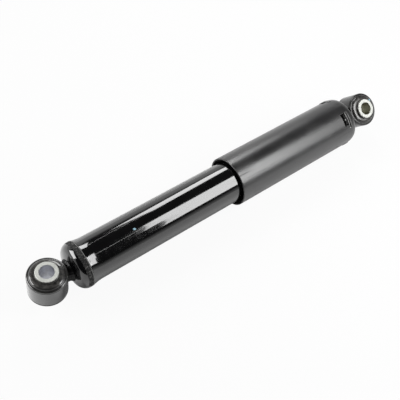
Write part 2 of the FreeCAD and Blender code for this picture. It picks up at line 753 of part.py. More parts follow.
# Dust cover: a moulded tube with a thick collar that seats on the plate, four snap windows
# and a raised lip along the top edge of each window
dust_cover = new_body("dust_cover", "cover_seat", "cover_twist")
turn(dust_cover, "section", [
    ("0", "cover_in_r"),
    ("0", "cover_r"),
    ("cover_length - cover_crown_length", "cover_r", "cover_crown", 1),
    ("cover_length", "cover_end_r"),
    ("cover_length", "cover_mouth / 2"),
    ("cover_shoulder", "cover_mouth / 2"),
    ("cover_shoulder", "cover_in_r")])
soften(dust_cover, "Fillet", "cover_round", [("cover_length", "cover_end_r")])
soften(dust_cover, "Chamfer", "lip_chamfer", [("0", "cover_in_r")])
window = turn(dust_cover, "window", [
    ("window_low", "cover_in_r - cover_wall"),
    ("window_top", "cover_in_r - cover_wall"),
    ("window_top", "cover_r + cover_wall"),
    ("window_low", "cover_r + cover_wall")], angle="window_angle", cut=True)
windows = repeat_round(dust_cover, "windows", [window], "window_count")
lip = turn(dust_cover, "lip", [
    ("window_top", "cover_r - cover_wall / 2"),
    ("window_top + window_lip_height", "cover_r - cover_wall / 2"),
    ("window_top + window_lip_height", "cover_r + window_lip_proud"),
    ("window_top", "cover_r + window_lip_proud")], angle="window_angle")
repeat_round(dust_cover, "lips", [lip], "window_count")

# Upper eye and the weld that joins it to the rod
eye("upper", "eye_spacing", "upper_eye_twist")
upper_weld = new_body("upper_eye_weld", "eye_spacing", "upper_eye_twist")
turn(upper_weld, "section", [
    ("-weld_start", "rod_r + press_gap"),
    ("-weld_start", "weld_r"),
    ("-weld_land_end", "weld_r"),
    ("-ring_r - upper_weld_length", "rod_r + upper_weld_wall"),
    ("-ring_r - upper_weld_length", "rod_r + press_gap")])
saddle(upper_weld)

# Check every object, then write one file for each piece
doc.recompute()
for thing in doc.Objects:
    if "Invalid" in thing.State or "Error" in thing.State:
        raise RuntimeError(f"{thing.Label} failed: {thing.State}")
for piece in SUBPARTS:
    if piece.Shape.isNull() or not piece.Shape.isValid() or piece.Shape.Volume <= 0:
        raise RuntimeError(f"{piece.Label} has no valid solid")
for piece in SUBPARTS:
    piece.Shape.exportStep(f"parts/{piece.Label}.step")
    print(f"{piece.Label}: {len(piece.Shape.Solids)} solid, {piece.Shape.Volume:.1f} mm3")
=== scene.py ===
import bpy
import math
from mathutils import Matrix, Vector


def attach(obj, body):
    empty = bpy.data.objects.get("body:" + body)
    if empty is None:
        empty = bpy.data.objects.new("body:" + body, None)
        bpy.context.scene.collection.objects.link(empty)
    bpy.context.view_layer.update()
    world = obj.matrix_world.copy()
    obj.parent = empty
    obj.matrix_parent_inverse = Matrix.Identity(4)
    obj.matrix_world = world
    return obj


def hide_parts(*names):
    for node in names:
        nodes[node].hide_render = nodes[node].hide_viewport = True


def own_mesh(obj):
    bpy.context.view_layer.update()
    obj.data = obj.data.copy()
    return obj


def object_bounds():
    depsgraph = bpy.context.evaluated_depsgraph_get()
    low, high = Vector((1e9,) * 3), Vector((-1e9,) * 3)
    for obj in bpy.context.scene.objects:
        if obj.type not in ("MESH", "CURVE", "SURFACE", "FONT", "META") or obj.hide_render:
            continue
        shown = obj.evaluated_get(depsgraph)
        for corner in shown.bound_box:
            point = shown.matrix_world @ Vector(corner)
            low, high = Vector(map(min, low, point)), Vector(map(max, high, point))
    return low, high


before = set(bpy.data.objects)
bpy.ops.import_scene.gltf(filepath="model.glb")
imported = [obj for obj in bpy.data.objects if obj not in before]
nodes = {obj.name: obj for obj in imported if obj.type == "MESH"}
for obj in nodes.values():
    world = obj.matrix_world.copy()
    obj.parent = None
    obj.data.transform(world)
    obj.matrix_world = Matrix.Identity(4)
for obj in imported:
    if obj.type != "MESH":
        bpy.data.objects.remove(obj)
cad_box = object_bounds()

# Eye rings
# Short lengths of thick steel tube, cut square with their edges broken. One is welded to the base cap and one
# to the rod. Both take the gloss black paint of the whole shock, which is a little duller on the upper one.
mm = 0.001
near = 0.01 * mm
merge_within = 0.001 * mm
smooth_below = math.radians(40)
round_sides = 128
ring_outside_r = 21.3 * mm
ring_inside_r = 17.3 * mm
ring_half = 12.0 * mm
ring_edge = 0.8 * mm
ring_edge_steps = 4
eye_spacing = 468.0 * mm
upper_eye_twist = math.radians(37.0)
paint_black = (0.0025, 0.0025, 0.0028, 1)
paint_black_thin = (0.0055, 0.0055, 0.0055, 1)
paint_shine = 0.6
coat_rough = 0.04
peel_cells = 420.0
peel_strength = 0.016
peel_depth = 0.3 * mm
upper_ring_dullness = 0.35
inspection_blue = (0.42, 0.68, 0.80, 1)
paint_dab_size = 1.5 * mm
dab_fade = 0.2 * mm


def turned(name, outline, sides, axis="X"):
    """Turn a closed outline of (along, radius) corners: a ring of edges, drawn out from corner to corner."""
    way = Vector((1, 0, 0)) if axis == "X" else Vector((0, 0, 1))
    tilt = (0, math.pi / 2, 0) if axis == "X" else (0, 0, 0)
    along, radius = outline[-1]
    bpy.ops.object.select_all(action="DESELECT")
    bpy.ops.mesh.primitive_circle_add(vertices=sides, radius=radius, location=way * along, rotation=tilt)
    bpy.ops.object.transform_apply(location=True, rotation=True, scale=True)
    piece = bpy.context.object
    piece.name = name
    bpy.ops.object.mode_set(mode="EDIT")
    bpy.ops.mesh.select_all(action="SELECT")
    for next_along, next_radius in outline:
        bpy.ops.mesh.extrude_edges_move(TRANSFORM_OT_translate={"value": way * (next_along - along)})
        grow = next_radius / radius
        spread = (1, grow, grow) if axis == "X" else (grow, grow, 1)
        bpy.ops.transform.resize(value=spread, center_override=way * next_along)
        along, radius = next_along, next_radius
    bpy.ops.mesh.select_all(action="SELECT")
    bpy.ops.mesh.remove_doubles(threshold=merge_within)
    bpy.ops.mesh.normals_make_consistent(inside=False)
    bpy.ops.object.mode_set(mode="OBJECT")
    return piece


def select_only(piece):
    """Make a piece the one that the next operators work on."""
    bpy.ops.object.select_all(action="DESELECT")
    piece.select_set(True)
    bpy.context.view_layer.objects.active = piece


def pick(piece, kind, wanted):
    """Select the corners that pass, or the edges or faces with only such corners, and open the piece."""
    select_only(piece)
    bpy.ops.object.mode_set(mode="EDIT")
    bpy.ops.mesh.select_mode(type=kind)
    bpy.ops.mesh.select_all(action="DESELECT")
    bpy.ops.object.mode_set(mode="OBJECT")
    corners = piece.data.vertices
    if kind == "VERT":
        for corner in corners:
            corner.select = wanted(corner.co)
    else:
        for part in piece.data.edges if kind == "EDGE" else piece.data.polygons:
            part.select = all(wanted(corners[number].co) for number in part.vertices)
    bpy.ops.object.mode_set(mode="EDIT")


def round_over(piece, rings, width, steps, axis="X"):
    """Round the turned corners at these (along, radius) places."""
    def on_ring(point):
        along = point.x if axis == "X" else point.z
        radius = math.hypot(point.y, point.z if axis == "X" else point.x)
        return any(abs(along - ring_along) < near and abs(radius - ring_radius) < near
                   for ring_along, ring_radius in rings)

    pick(piece, "EDGE", on_ring)
    bpy.ops.mesh.bevel(offset=width, segments=steps, affect="EDGES")
    bpy.ops.object.mode_set(mode="OBJECT")


def copy_to_upper_eye(piece, name):
    """A copy with its own mesh, turned and moved from the lower eye to the upper one."""
    select_only(piece)
    bpy.ops.object.duplicate(linked=False)
    copy = bpy.context.object
    copy.name = name
    copy.rotation_euler.x = upper_eye_twist
    copy.location.x = eye_spacing
    bpy.ops.object.transform_apply(location=True, rotation=True, scale=True)
    return copy


def fit(piece, finish, slot, body, *stands_for):
    """Shade a finished piece, give it its finish and hang it on its body in place of the plain nodes."""
    select_only(piece)
    bpy.ops.object.shade_smooth_by_angle(angle=smooth_below)
    flats = piece.modifiers.new("flats_stay_flat", "WEIGHTED_NORMAL")
    flats.keep_sharp = True
    bpy.ops.object.modifier_apply(modifier=flats.name)
    piece.data.materials.append(finish)
    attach(piece, body)
    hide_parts(*stands_for)


def new_finish(name):
    """A new material, with its node tree and its main shader."""
    finish = bpy.data.materials.new(name)
    finish.use_nodes = True
    return finish, finish.node_tree, finish.node_tree.nodes["Principled BSDF"]


def put(tree, socket, value):
    """Set a socket to a value, or link it where another socket is given."""
    if isinstance(value, bpy.types.NodeSocket):
        tree.links.new(value, socket)
    else:
        socket.default_value = value


def feed(tree, node, **inputs):
    """Put values or sockets on a node's inputs, by name."""
    for name, value in inputs.items():
        put(tree, node.inputs[name.replace("_", " ")], value)


def add(tree, kind, **inputs):
    """One shader node with these inputs."""
    made = tree.nodes.new(kind)
    feed(tree, made, **inputs)
    return made


def work_out(tree, operation, first, second):
    """The sum or the like of two values."""
    made = tree.nodes.new("ShaderNodeMath")
    made.operation = operation
    put(tree, made.inputs[0], first)
    put(tree, made.inputs[1], second)
    return made.outputs[0]


def measure(tree, operation, place, other=(0, 0, 0)):
    """A length, a distance or the like of one place and another."""
    made = tree.nodes.new("ShaderNodeVectorMath")
    made.operation = operation
    put(tree, made.inputs[0], place)
    put(tree, made.inputs[1], other)
    return made.outputs["Vector" if operation == "MULTIPLY" else "Value"]


def place_on_piece(tree):
    """Place on the piece itself, so that a finish moves with it."""
    return add(tree, "ShaderNodeTexCoord").outputs["Object"]


def grain(tree, place, scale, detail=2.0, roughness=0.5):
    """Soft cloudy variation, with scale in cells to the metre."""
    return add(tree, "ShaderNodeTexNoise", Vector=place, Scale=scale, Detail=detail,
               Roughness=roughness).outputs["Fac"]


def between(tree, value, low, high, to_low, to_high):
    """A value carried over from one range to another, and held at both ends."""
    return add(tree, "ShaderNodeMapRange", Value=value, From_Min=low, From_Max=high,
               To_Min=to_low, To_Max=to_high).outputs["Result"]


def blend_colour(tree, share, first, second):
    """A share of the second colour over the first."""
    mix = tree.nodes.new("ShaderNodeMix")
    mix.data_type = "RGBA"
    for socket, value in zip((mix.inputs[0], mix.inputs[6], mix.inputs[7]), (share, first, second)):
        put(tree, socket, value)
    return mix.outputs[2]


def raise_grain(tree, shader, height, strength, depth):
    """Give a surface the fine relief of a height."""
    bump = add(tree, "ShaderNodeBump", Height=height, Strength=strength, Distance=depth)
    feed(tree, shader, Normal=bump.outputs["Normal"])


def dab(tree, place, centre, size, colour, dab_colour):
    """A round dab of another colour with an uneven edge, over a colour."""
    wobble = between(tree, grain(tree, place, 500.0), 0.3, 0.7, -0.2 * size, 0.2 * size)
    uneven = work_out(tree, "ADD", wobble, measure(tree, "DISTANCE", place, centre))
    share = between(tree, uneven, size - dab_fade, size + dab_fade, 1.0, 0.0)
    return blend_colour(tree, share, colour, dab_colour)


def gloss_paint(name, dab_at=None, dullness=0.0):
    """Dipped gloss black paint: a faint orange peel, thinner in places, with a few dull specks of dust."""
    finish, tree, shader = new_finish(name)
    place = place_on_piece(tree)
    thin = grain(tree, place, 45.0, 3.0)
    colour = blend_colour(tree, thin, paint_black, paint_black_thin)
    if dab_at:
        colour = dab(tree, place, dab_at, paint_dab_size, colour, inspection_blue)
    haze = 0.6 * dullness
    cloud = between(tree, grain(tree, place, 150.0, 3.0), 0.3, 0.75, 0.07 + haze, 0.15 + haze)
    dust = between(tree, grain(tree, place, 1700.0, 2.0), 0.73, 0.78, 0.0, 0.2)
    raise_grain(tree, shader, grain(tree, place, peel_cells, 1.0), peel_strength, peel_depth)
    feed(tree, shader, Base_Color=colour, Roughness=work_out(tree, "ADD", dust, cloud),
         Specular_IOR_Level=paint_shine - 0.5 * dullness, Coat_Weight=1.0 - dullness,
         Coat_Roughness=coat_rough)
    return finish


lower_ring = turned("lower_eye_ring_painted", [
    (-ring_half, ring_inside_r),
    (ring_half, ring_inside_r),
    (ring_half, ring_outside_r),
    (-ring_half, ring_outside_r)], round_sides, "Z")
ring_corners = [(ring_half, ring_outside_r), (-ring_half, ring_outside_r)]
round_over(lower_ring, ring_corners, ring_edge, ring_edge_steps, "Z")
upper_ring = copy_to_upper_eye(lower_ring, "upper_eye_ring_painted")
lower_paint = gloss_paint("black_paint_gloss")
upper_paint = gloss_paint("black_paint_upper_eye", dullness=upper_ring_dullness)
fit(lower_ring, lower_paint, "black_paint", "cylinder", "lower_eye_ring")
fit(upper_ring, upper_paint, "black_paint", "rod", "upper_eye_ring")

# Eye bushes
# Natural rubber moulded round a core and pressed into the rings. The flange at each end laps the ring and
# steps up to a crowned face, and a thin collar climbs the sleeve. The mould leaves it smooth and shiny.
bush_bore_r = 12.3 * mm
bush_outside_r = 17.28 * mm
bush_lip = 12.25 * mm
bush_rim = 14.5 * mm
bush_foot_r = 18.9 * mm
bush_shoulder = 15.9 * mm
bush_shoulder_r = 18.2 * mm
bush_face = 17.25 * mm
bush_face_r = 13.5 * mm
bush_collar = 19.9 * mm
bush_collar_r = 13.0 * mm
bush_lip_round = 0.3 * mm
bush_rim_round = 1.7 * mm
bush_foot_round = 0.35 * mm
bush_shoulder_round = 0.9 * mm
bush_steps = 6
rubber_black = (0.012, 0.0118, 0.0112, 1)
rubber_bloom = (0.034, 0.033, 0.031, 1)
rubber_dust = (0.115, 0.111, 0.103, 1)
rubber_shine = 0.5
rubber_coat_ior = 1.65
crown_gloss = 0.85
crown_dust_full_r = bush_shoulder_r - 1.6 * mm
crown_dust_none_r = bush_shoulder_r - 0.6 * mm
upper_rim_gloss = 0.55
upper_bush_dab = (482.4 * mm, -4.4 * mm, 17.7 * mm)
rubber_dab_size = 1.3 * mm


def bow(centre, radius, start, stop, steps):
    """Corners along an arc about an (along, radius) centre, from one angle to another."""
    angles = [start + (stop - start) * step / steps for step in range(steps + 1)]
    return [(centre[0] - radius * math.cos(angle), centre[1] + radius * math.sin(angle)) for angle in angles]


def about_eye(tree, centre, twist):
    """Place on a piece of an eye, seen from the eye's own middle with its axis upright."""
    return add(tree, "ShaderNodeMapping", Vector=place_on_piece(tree), Location=(-centre, 0, 0),
               Rotation=(-twist, 0, 0)).outputs["Vector"]


def from_axis(tree, place, across):
    """Distance from the axis that is left out of the directions across it."""
    return measure(tree, "LENGTH", measure(tree, "MULTIPLY", place, across))


def moulded_rubber(name, centre=0.0, twist=0.0, rim_gloss=1.0, dab_at=None):
    """Black rubber with a little bloom, a fine mould grain and an uneven shine, dusty on the crowned face."""
    finish, tree, shader = new_finish(name)
    place = place_on_piece(tree)
    bloom = between(tree, grain(tree, place, 110.0, 4.0, 0.6), 0.4, 0.75, 0.0, 1.0)
    colour = blend_colour(tree, bloom, rubber_black, rubber_bloom)
    radius = from_axis(tree, about_eye(tree, centre, twist), (1, 1, 0))
    crown = between(tree, radius, crown_dust_full_r, crown_dust_none_r, 1.0, 0.0)
    dust = between(tree, grain(tree, place, 260.0, 4.0, 0.7), 0.38, 0.68, 0.0, crown)
    colour = blend_colour(tree, dust, colour, rubber_dust)
    if dab_at:
        colour = dab(tree, place, dab_at, rubber_dab_size, colour, inspection_blue)
    rough = between(tree, grain(tree, place, 700.0, 3.0), 0.3, 0.7, 0.30, 0.44)
    gloss = between(tree, crown, 0.0, 1.0, rim_gloss, crown_gloss)
    raise_grain(tree, shader, grain(tree, place, 900.0, 3.0), 0.08, 0.1 * mm)
    feed(tree, shader, Base_Color=colour, Roughness=rough, Specular_IOR_Level=rubber_shine * rim_gloss,
         Coat_Weight=gloss, Coat_Roughness=coat_rough, Coat_IOR=rubber_coat_ior)
    return finish


crown_height = bush_face - bush_shoulder
crown_width = bush_shoulder_r - bush_face_r
crown_radius = (crown_width ** 2 + crown_height ** 2) / (2 * crown_height)
crown_reach = math.asin(crown_width / crown_radius)
crown_middle = (bush_face - crown_radius, bush_face_r)
bush_end = [
    (bush_collar, bush_bore_r),
    (bush_collar, bush_collar_r),
    (bush_face, bush_collar_r)]
bush_end += bow(crown_middle, crown_radius, math.pi, math.pi - crown_reach, bush_steps)
bush_end += [
    (bush_rim, bush_foot_r),
    (bush_rim, ring_outside_r),
    (bush_lip, ring_outside_r),
    (bush_lip, bush_outside_r)]
bush_other_end = [(-along, radius) for along, radius in reversed(bush_end)]
lower_bush = turned("lower_eye_bush_moulded", bush_end + bush_other_end, round_sides, "Z")
for along, radius, width in (
        (bush_lip, ring_outside_r, bush_lip_round),
        (bush_rim, ring_outside_r, bush_rim_round),
        (bush_rim, bush_foot_r, bush_foot_round),
        (bush_shoulder, bush_shoulder_r, bush_shoulder_round),
        (bush_collar, bush_collar_r, bush_foot_round)):
    round_over(lower_bush, [(along, radius), (-along, radius)], width, bush_steps, "Z")
upper_bush = copy_to_upper_eye(lower_bush, "upper_eye_bush_moulded")
lower_rubber = moulded_rubber("black_rubber_lower")
upper_rubber = moulded_rubber("black_rubber_upper", eye_spacing, upper_eye_twist, upper_rim_gloss,
                              upper_bush_dab)
fit(lower_bush, lower_rubber, "rubber", "cylinder", "lower_eye_bush")
fit(upper_bush, upper_rubber, "rubber", "rod", "upper_eye_bush")

# Eye sleeves
# Thick-walled steel tubes that the mounting bolts go through, turned to length, chamfered at both ends
# and zinc plated. They stand proud of the rubber, so the bolt clamps them and the rubber twists.
sleeve_outside_r = 12.25 * mm
sleeve_bore_r = 8.1 * mm
sleeve_half = 20.6 * mm
sleeve_edge = 0.7 * mm
sleeve_edge_steps = 3
sleeve_bore_edge = 0.4 * mm
sleeve_bore_edge_steps = 2
sleeve_sides = 96
bore_skin_r = sleeve_bore_r + 0.05 * mm
zinc_pale = (0.83, 0.84, 0.805, 1)
zinc_cloudy = (0.71, 0.72, 0.685, 1)
# Painted shade: each bore gets its own greys, darker than the faces and darkest in the upper eye, standing in
# for the shade inside it.
lower_bore_painted_shade = (0.70, 0.71, 0.77, 1)
lower_bore_painted_shade_dark = (0.54, 0.55, 0.57, 1)
upper_bore_painted_shade = (0.57, 0.57, 0.47, 1)
upper_bore_painted_shade_dark = (0.43, 0.43, 0.36, 1)
turning_pitch = 0.28 * mm
turning_depth = 0.04 * mm


def zinc_plate(name, centre, twist):
    """Bright zinc over a turned face: fine rings round the eye's axis under slightly cloudy plating."""
    finish, tree, shader = new_finish(name)
    place = about_eye(tree, centre, twist)
    turns = work_out(tree, "PINGPONG", from_axis(tree, place, (1, 1, 0)), turning_pitch)
    ridges = between(tree, turns, 0.0, turning_pitch, 0.0, 1.0)
    cloud = between(tree, grain(tree, place, 130.0, 4.0, 0.6), 0.35, 0.75, 0.0, 1.0)
    colour = blend_colour(tree, cloud, zinc_pale, zinc_cloudy)
    rough = between(tree, grain(tree, place, 420.0, 3.0), 0.3, 0.7, 0.68, 0.80)
    raise_grain(tree, shader, ridges, 0.04, turning_depth)
    feed(tree, shader, Base_Color=colour, Roughness=rough, Metallic=1.0)
    return finish


def zinc_with_painted_shade(name, grey, dark):
    """Plating that is thinner and patchy inside the bore, in its own darker greys: painted shade for the
    hollow.
    """
    finish, tree, shader = new_finish(name)
    place = place_on_piece(tree)
    patchy = between(tree, grain(tree, place, 160.0, 3.0), 0.35, 0.7, 0.0, 1.0)
    rough = between(tree, grain(tree, place, 600.0, 2.0), 0.3, 0.7, 0.40, 0.55)
    feed(tree, shader, Base_Color=blend_colour(tree, patchy, grey, dark), Roughness=rough, Metallic=1.0)
    return finish


lower_sleeve = turned("lower_eye_sleeve_plated", [
    (-sleeve_half, sleeve_bore_r),
    (sleeve_half, sleeve_bore_r),
    (sleeve_half, sleeve_outside_r),
    (-sleeve_half, sleeve_outside_r)], sleeve_sides, "Z")
for radius, width, steps in (
        (sleeve_outside_r, sleeve_edge, sleeve_edge_steps),
        (sleeve_bore_r, sleeve_bore_edge, sleeve_bore_edge_steps)):
    round_over(lower_sleeve, [(sleeve_half, radius), (-sleeve_half, radius)], width, steps, "Z")
pick(lower_sleeve, "FACE", lambda point: math.hypot(point.x, point.y) < bore_skin_r)
bpy.ops.object.mode_set(mode="OBJECT")
for face in lower_sleeve.data.polygons:
    face.material_index = 1 if face.select else 0
upper_sleeve = copy_to_upper_eye(lower_sleeve, "upper_eye_sleeve_plated")
lower_zinc = zinc_plate("zinc_lower_sleeve", 0.0, 0.0)
upper_zinc = zinc_plate("zinc_upper_sleeve", eye_spacing, upper_eye_twist)
fit(lower_sleeve, lower_zinc, "zinc_plate", "lower_sleeve", "lower_eye_sleeve")
fit(upper_sleeve, upper_zinc, "zinc_plate", "upper_sleeve", "upper_eye_sleeve")
lower_sleeve.data.materials.append(zinc_with_painted_shade("zinc_lower_bore_painted_shade", lower_bore_painted_shade, lower_bore_painted_shade_dark))
upper_sleeve.data.materials.append(zinc_with_painted_shade("zinc_upper_bore_painted_shade", upper_bore_painted_shade, upper_bore_painted_shade_dark))

# Eye welds
# Fillet welds laid in one pass round each joint: the lower one between its ring and the crown of the base
# cap, the upper one between its ring and the rod. The pool freezes in ripples, which show through the paint.
lower_weld_outline = [
    (17.6 * mm, 6.0 * mm),
    (17.6 * mm, 10.5 * mm),
    (21.6 * mm, 10.5 * mm),
    (22.8 * mm, 11.0 * mm),
    (24.2 * mm, 12.0 * mm),
    (25.5 * mm, 13.0 * mm),
    (24.6 * mm, 6.0 * mm)]
upper_weld_outline = [
    (eye_spacing - 17.6 * mm, 7.02 * mm),
    (eye_spacing - 17.6 * mm, 10.5 * mm),
    (eye_spacing - 21.7 * mm, 10.5 * mm),
    (eye_spacing - 24.0 * mm, 9.9 * mm),
    (eye_spacing - 26.4 * mm, 9.2 * mm),
    (eye_spacing - 28.3 * mm, 8.6 * mm),
    (eye_spacing - 28.3 * mm, 7.02 * mm)]
weld_ripples = 22
ripple_columns = 4
ripple_crest = 1.025
ripple_trough = 0.985
weld_dullness = 0.8


def weld_bead(name, outline):
    """A turned bead with every fourth column pulled out, and the one between pushed in, where it shows."""
    columns = weld_ripples * ripple_columns
    piece = turned(name, outline, columns)
    rings = [along for along, radius in outline[2:5]]
    for shift, grow in ((0, ripple_crest), (2, ripple_trough)):
        def in_ripple(point):
            column = round(math.atan2(point.z, point.y) / (2 * math.pi) * columns)
            return column % ripple_columns == shift and any(abs(point.x - along) < near for along in rings)

        pick(piece, "VERT", in_ripple)
        bpy.ops.transform.resize(value=(1, grow, grow), center_override=(0, 0, 0))
        bpy.ops.object.mode_set(mode="OBJECT")
    return piece


lower_weld = weld_bead("lower_eye_weld_bead", lower_weld_outline)
upper_weld = weld_bead("upper_eye_weld_bead", upper_weld_outline)
weld_paint = gloss_paint("black_paint_weld", dullness=weld_dullness)
fit(lower_weld, weld_paint, "black_paint", "cylinder", "lower_eye_weld")
fit(upper_weld, weld_paint, "black_paint", "rod", "upper_eye_weld")

# Base cap
# A dished steel pressing that closes the bottom of the reserve tube. Its short rim butts against the tube and
# is welded to it all round, so a band above the knuckle stays rough and dull under the paint.
crown_at = 24.3 * mm
crown_bow = 60.0 * mm
crown_steps = 8
knuckle_bow = 10.0 * mm
knuckle_steps = 12
rim_r = 26.8 * mm
cap_wall = 3.0 * mm
cap_floor = 5.4 * mm
cap_floor_r = 17.0 * mm
seam_at = 40.4 * mm
seam_edge = 0.35 * mm
seam_edge_steps = 2
pole_turn = 0.01
rough_band_from = 33.6 * mm
rough_band_full = rough_band_from + 0.8 * mm
band_wander = 1.2 * mm
seam_highlight_from = seam_at - 0.9 * mm
seam_highlight_full = seam_at - 0.6 * mm
cap_rough = 0.10
scale_grey = (0.004, 0.004, 0.004, 1)
scale_pale = (0.13, 0.128, 0.122, 1)
seam_painted_highlight = (0.24, 0.24, 0.235, 1)

knuckle_r = rim_r - knuckle_bow
knuckle_at = crown_at + crown_bow - math.sqrt((crown_bow - knuckle_bow) ** 2 - knuckle_r ** 2)
tangent = math.asin(knuckle_r / (crown_bow - knuckle_bow))
cap_outline = bow((crown_at + crown_bow, 0.0), crown_bow, pole_turn, tangent, crown_steps)
cap_outline += bow((knuckle_at, knuckle_r), knuckle_bow, tangent, math.pi / 2, knuckle_steps)[1:]
pole_at, pole_r = cap_outline[0]
cap_outline += [
    (seam_at, rim_r),
    (seam_at, rim_r - cap_wall),
    (knuckle_at, rim_r - cap_wall),
    (crown_at + cap_floor, cap_floor_r),
    (crown_at + cap_floor, pole_r)]
base_cap = turned("base_cap_pressed", cap_outline, round_sides)


def at_pole(point):
    """Whether a point lies on the narrow bore that turning leaves round the axis."""
    return math.hypot(point.y, point.z) < pole_r + near


pick(base_cap, "FACE", at_pole)
bpy.ops.mesh.delete(type="FACE")
for level in (pole_at, crown_at + cap_floor):
    bpy.ops.object.mode_set(mode="OBJECT")
    pick(base_cap, "EDGE", lambda point: at_pole(point) and abs(point.x - level) < near)
    bpy.ops.mesh.edge_face_add()
bpy.ops.object.mode_set(mode="OBJECT")
round_over(base_cap, [(seam_at, rim_r)], seam_edge, seam_edge_steps)

cap_paint, tree, shader = new_finish("base_cap_paint")
place = place_on_piece(tree)
along = add(tree, "ShaderNodeSeparateXYZ", Vector=place).outputs["X"]
ragged = between(tree, grain(tree, place, 260.0, 4.0, 0.65), 0.3, 0.7, -band_wander, band_wander)
band = between(tree, work_out(tree, "ADD", along, ragged), rough_band_from, rough_band_full, 0.0, 1.0)
pits = grain(tree, place, 480.0, 4.0, 0.7)
peel = grain(tree, place, peel_cells, 1.0)
height = add(tree, "ShaderNodeMix", Factor=band, A=peel, B=pits).outputs["Result"]
relief = between(tree, band, 0.0, 1.0, peel_strength, 1.0)
raise_grain(tree, shader, height, relief, peel_depth)
pitted = between(tree, pits, 0.3, 0.7, 0.9, 0.6)
rough = add(tree, "ShaderNodeMix", Factor=band, A=cap_rough, B=pitted).outputs["Result"]
scale = blend_colour(tree, between(tree, pits, 0.52, 0.64, 0.0, 1.0), scale_grey, scale_pale)
colour = blend_colour(tree, band, paint_black, scale)
# Painted highlight: a pale grey line along the seam stands in for the light that the seam's rounded edges
# catch.
seam_highlight_share = between(tree, along, seam_highlight_from, seam_highlight_full, 0.0, 1.0)
gloss = between(tree, band, 0.0, 1.0, 1.0, 0.0)
feed(tree, shader, Base_Color=blend_colour(tree, seam_highlight_share, colour, seam_painted_highlight), Roughness=rough,
     Specular_IOR_Level=paint_shine, Coat_Weight=gloss, Coat_Roughness=coat_rough)
fit(base_cap, cap_paint, "black_paint", "cylinder", "base_cap")

# Reserve tube
# Drawn steel tube, flared at the bottom to meet the cap and rolled inwards at the top over the seal washer.
# It carries the best paint of the shock, so it shows the lamps as long clean streaks.
tube_r = 25.0 * mm
tube_wall = 2.0 * mm
tube_top = 280.0 * mm
flare_length = 14.0 * mm
flare_steps = 10
crimp_round = 4.0 * mm
crimp_steps = 6
crimp_mouth_r = 15.0 * mm
tube_dab = (102.6 * mm, -7.4 * mm, 23.9 * mm)

flare_rise = rim_r - tube_r
flare_bow = (flare_length ** 2 + flare_rise ** 2) / (2 * flare_rise)
flare_end = seam_at + flare_length
flare_slope = math.asin(flare_length / flare_bow)
flare_turns = [flare_slope * (1 - step / flare_steps) for step in range(flare_steps + 1)]
flare = [(flare_end - flare_bow * math.sin(angle), tube_r + flare_bow * (1 - math.cos(angle)))
         for angle in flare_turns]
crimp_turns = [math.pi / 2 * step / crimp_steps for step in range(crimp_steps + 1)]
crimp = [(tube_top - crimp_round * (1 - math.sin(angle)), tube_r - crimp_round * (1 - math.cos(angle)))
         for angle in crimp_turns]
reserve_tube = turned("reserve_tube_painted", flare + crimp + [
    (tube_top, crimp_mouth_r),
    (tube_top - tube_wall, crimp_mouth_r),
    (tube_top - tube_wall, tube_r - crimp_round),
    (tube_top - crimp_round, tube_r - tube_wall),
    (flare_end, tube_r - tube_wall),
    (seam_at, rim_r - tube_wall)], round_sides)
round_over(reserve_tube, [(seam_at, rim_r)], seam_edge, seam_edge_steps)
tube_paint = gloss_paint("black_paint_tube", tube_dab)
fit(reserve_tube, tube_paint, "black_paint", "cylinder", "reserve_tube")

# Base valve and check valves
# Stamped and turned steel pieces: shims, plates, pins, nuts and washers, left bare in the oil.
# The pressure tube is honed steel, and the washer under the rolled top of the tube is plain steel too.
steel_bright = (0.56, 0.55, 0.53, 1)
steel_dull = (0.40, 0.39, 0.38, 1)
steel_nodes = (
    "pressure_tube", "base_valve_pin", "base_valve_nut", "intake_plate", "seal_spring", "seal_washer",
    "check_plate", "support_washer", "clamp_washer", "piston_nut", "rebound_stop",
    "base_valve_shim_1", "base_valve_shim_2", "base_valve_shim_3",
    "rebound_shim_1", "rebound_shim_2", "rebound_shim_3")


def put_on(finish, *names):
    """Give plain nodes a finish."""
    for name in names:
        for slot in nodes[name].material_slots:
            slot.material = finish


def streaks(tree, place, cells, detail=3.0):
    """Grain with its own scale in each direction, in cells to the metre."""
    drawn = add(tree, "ShaderNodeMapping", Vector=place, Scale=cells).outputs["Vector"]
    return grain(tree, drawn, 1.0, detail)


def bare_metal(name, bright, dull, low_rough, high_rough):
    """Bare metal in oil: cloudy colour, drawing lines along the axis and an uneven shine."""
    finish, tree, shader = new_finish(name)
    place = place_on_piece(tree)
    lines = streaks(tree, place, (40.0, 900.0, 900.0))
    colour = blend_colour(tree, grain(tree, place, 140.0, 4.0), bright, dull)
    rough = between(tree, lines, 0.3, 0.7, low_rough, high_rough)
    raise_grain(tree, shader, lines, 0.08, 0.05 * mm)
    feed(tree, shader, Base_Color=colour, Roughness=rough, Metallic=1.0)
    return finish


oiled_steel = bare_metal("steel_bare", steel_bright, steel_dull, 0.24, 0.42)
put_on(oiled_steel, *steel_nodes)

# Finger springs
# Stamped from spring steel and dished, with five fingers that press a check plate on its seat. When the plate
# lifts, the fingers flatten against the head of the pin or the support washer.
spring_height = 2.2 * mm
spring_sheet = 0.4 * mm
spring_land = 2.0 * mm
spring_outside_r = 12.5 * mm
spring_fingers = 5
spring_sides = 360
slot_half = math.radians(17.0)
near_turn = 0.001
intake_tips = 52.8 * mm
intake_hole_r = 3.02 * mm
check_tips = 229.507 * mm
check_hole_r = 5.02 * mm


def turn_from(point, middle):
    """How far round the axis a point is from a middle, from -pi to pi, with zero straight up."""
    angle = math.atan2(point.y, point.z) - middle
    return (angle + math.pi) % (2 * math.pi) - math.pi


